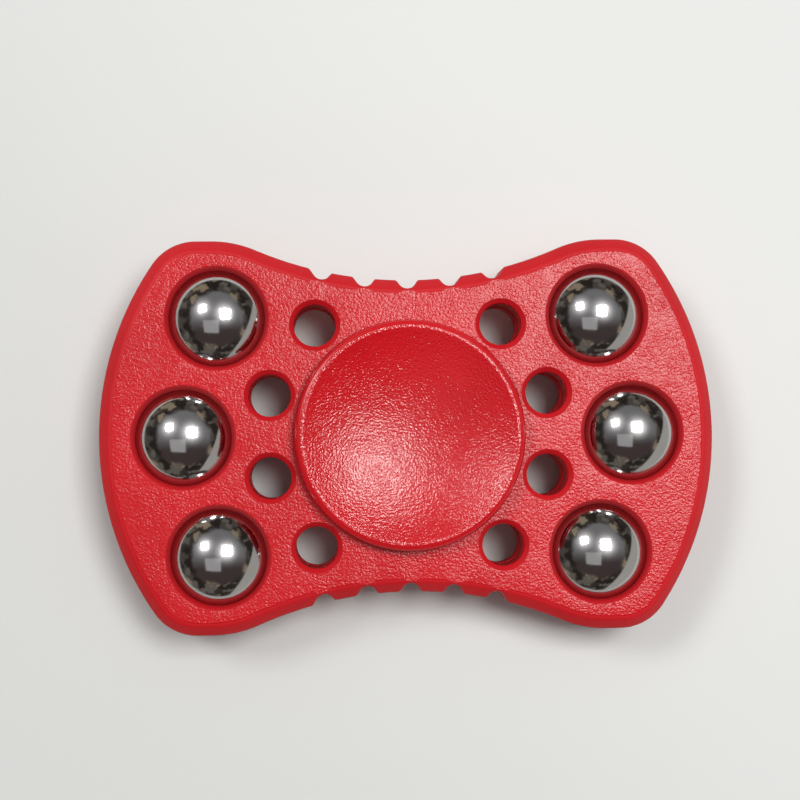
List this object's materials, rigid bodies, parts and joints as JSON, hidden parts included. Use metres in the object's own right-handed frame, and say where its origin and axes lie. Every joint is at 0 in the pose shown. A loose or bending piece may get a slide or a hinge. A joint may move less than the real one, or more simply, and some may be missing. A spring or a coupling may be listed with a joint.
{
  "type": "fidget spinner",
  "caption": "Pocket fidget spinner: a flat two-winged moulded body with captive steel balls turns on a ball bearing between dished finger caps.",
  "frame": {"origin": "centre of the ball bearing, which is also the centre of the whole part", "axes": "+X along the two wings, +Y across them, +Z along the spin axis through the finger caps"},
  "size_m": [0.0704, 0.045, 0.013],
  "materials": {
    "body_plastic": "moulded red ABS, fine grained faces with smooth bevels and hole edges",
    "cap_plastic": "moulded red ABS with a fine satin grain in the dish and a smooth rim",
    "weight_steel": "polished hardened bearing steel, mirror bright and slightly dark",
    "ball_steel": "polished bearing steel",
    "bearing_steel": "ground bearing steel with polished raceways",
    "shield_steel": "pressed steel sheet",
    "cage_nylon": "natural moulded nylon"
  },
  "bodies": {
    "grip": {"upper_cap": "cap_plastic", "lower_cap": "cap_plastic", "bearing_inner_ring": "bearing_steel"},
    "rotor": {"upper_shell": "body_plastic", "lower_shell": "body_plastic", "weight_ball_right_front": "weight_steel", "weight_ball_right_middle": "weight_steel", "weight_ball_right_back": "weight_steel", "weight_ball_left_front": "weight_steel", "weight_ball_left_middle": "weight_steel", "weight_ball_left_back": "weight_steel", "bearing_outer_ring": "bearing_steel", "upper_shield": "shield_steel", "lower_shield": "shield_steel", "upper_shield_clip": "shield_steel", "lower_shield_clip": "shield_steel"},
    "cage": {"bearing_cage": "cage_nylon"},
    "roller_1": {"bearing_ball_1": "ball_steel"},
    "roller_2": {"bearing_ball_2": "ball_steel"},
    "roller_3": {"bearing_ball_3": "ball_steel"},
    "roller_4": {"bearing_ball_4": "ball_steel"},
    "roller_5": {"bearing_ball_5": "ball_steel"},
    "roller_6": {"bearing_ball_6": "ball_steel"},
    "roller_7": {"bearing_ball_7": "ball_steel"}
  },
  "joints": [
    {"name": "frame_spin", "type": "hinge", "parent": "grip", "child": "rotor", "pos_m": [0, 0, 0], "axis": [0, 0, 1], "continuous": true},
    {"name": "cage_orbit", "type": "hinge", "parent": "grip", "child": "cage", "pos_m": [0, 0, 0], "axis": [0, 0, 1], "continuous": true},
    {"name": "roller_1_spin", "type": "hinge", "parent": "cage", "child": "roller_1", "pos_m": [0.0075, 0, 0], "axis": [0, 0, 1], "continuous": true},
    {"name": "roller_2_spin", "type": "hinge", "parent": "cage", "child": "roller_2", "pos_m": [0.00468, 0.00586, 0], "axis": [0, 0, 1], "continuous": true},
    {"name": "roller_3_spin", "type": "hinge", "parent": "cage", "child": "roller_3", "pos_m": [-0.00167, 0.00731, 0], "axis": [0, 0, 1], "continuous": true},
    {"name": "roller_4_spin", "type": "hinge", "parent": "cage", "child": "roller_4", "pos_m": [-0.00676, 0.00325, 0], "axis": [0, 0, 1], "continuous": true},
    {"name": "roller_5_spin", "type": "hinge", "parent": "cage", "child": "roller_5", "pos_m": [-0.00676, -0.00325, 0], "axis": [0, 0, 1], "continuous": true},
    {"name": "roller_6_spin", "type": "hinge", "parent": "cage", "child": "roller_6", "pos_m": [-0.00167, -0.00731, 0], "axis": [0, 0, 1], "continuous": true},
    {"name": "roller_7_spin", "type": "hinge", "parent": "cage", "child": "roller_7", "pos_m": [0.00468, -0.00586, 0], "axis": [0, 0, 1], "continuous": true}
  ],
  "couplings": [
    {"joint": "cage_orbit", "follows": "frame_spin", "ratio": 0.63227},
    {"joint": "roller_1_spin", "follows": "frame_spin", "ratio": 1.7579},
    {"joint": "roller_2_spin", "follows": "frame_spin", "ratio": 1.7579},
    {"joint": "roller_3_spin", "follows": "frame_spin", "ratio": 1.7579},
    {"joint": "roller_4_spin", "follows": "frame_spin", "ratio": 1.7579},
    {"joint": "roller_5_spin", "follows": "frame_spin", "ratio": 1.7579},
    {"joint": "roller_6_spin", "follows": "frame_spin", "ratio": 1.7579},
    {"joint": "roller_7_spin", "follows": "frame_spin", "ratio": 1.7579}
  ]
}
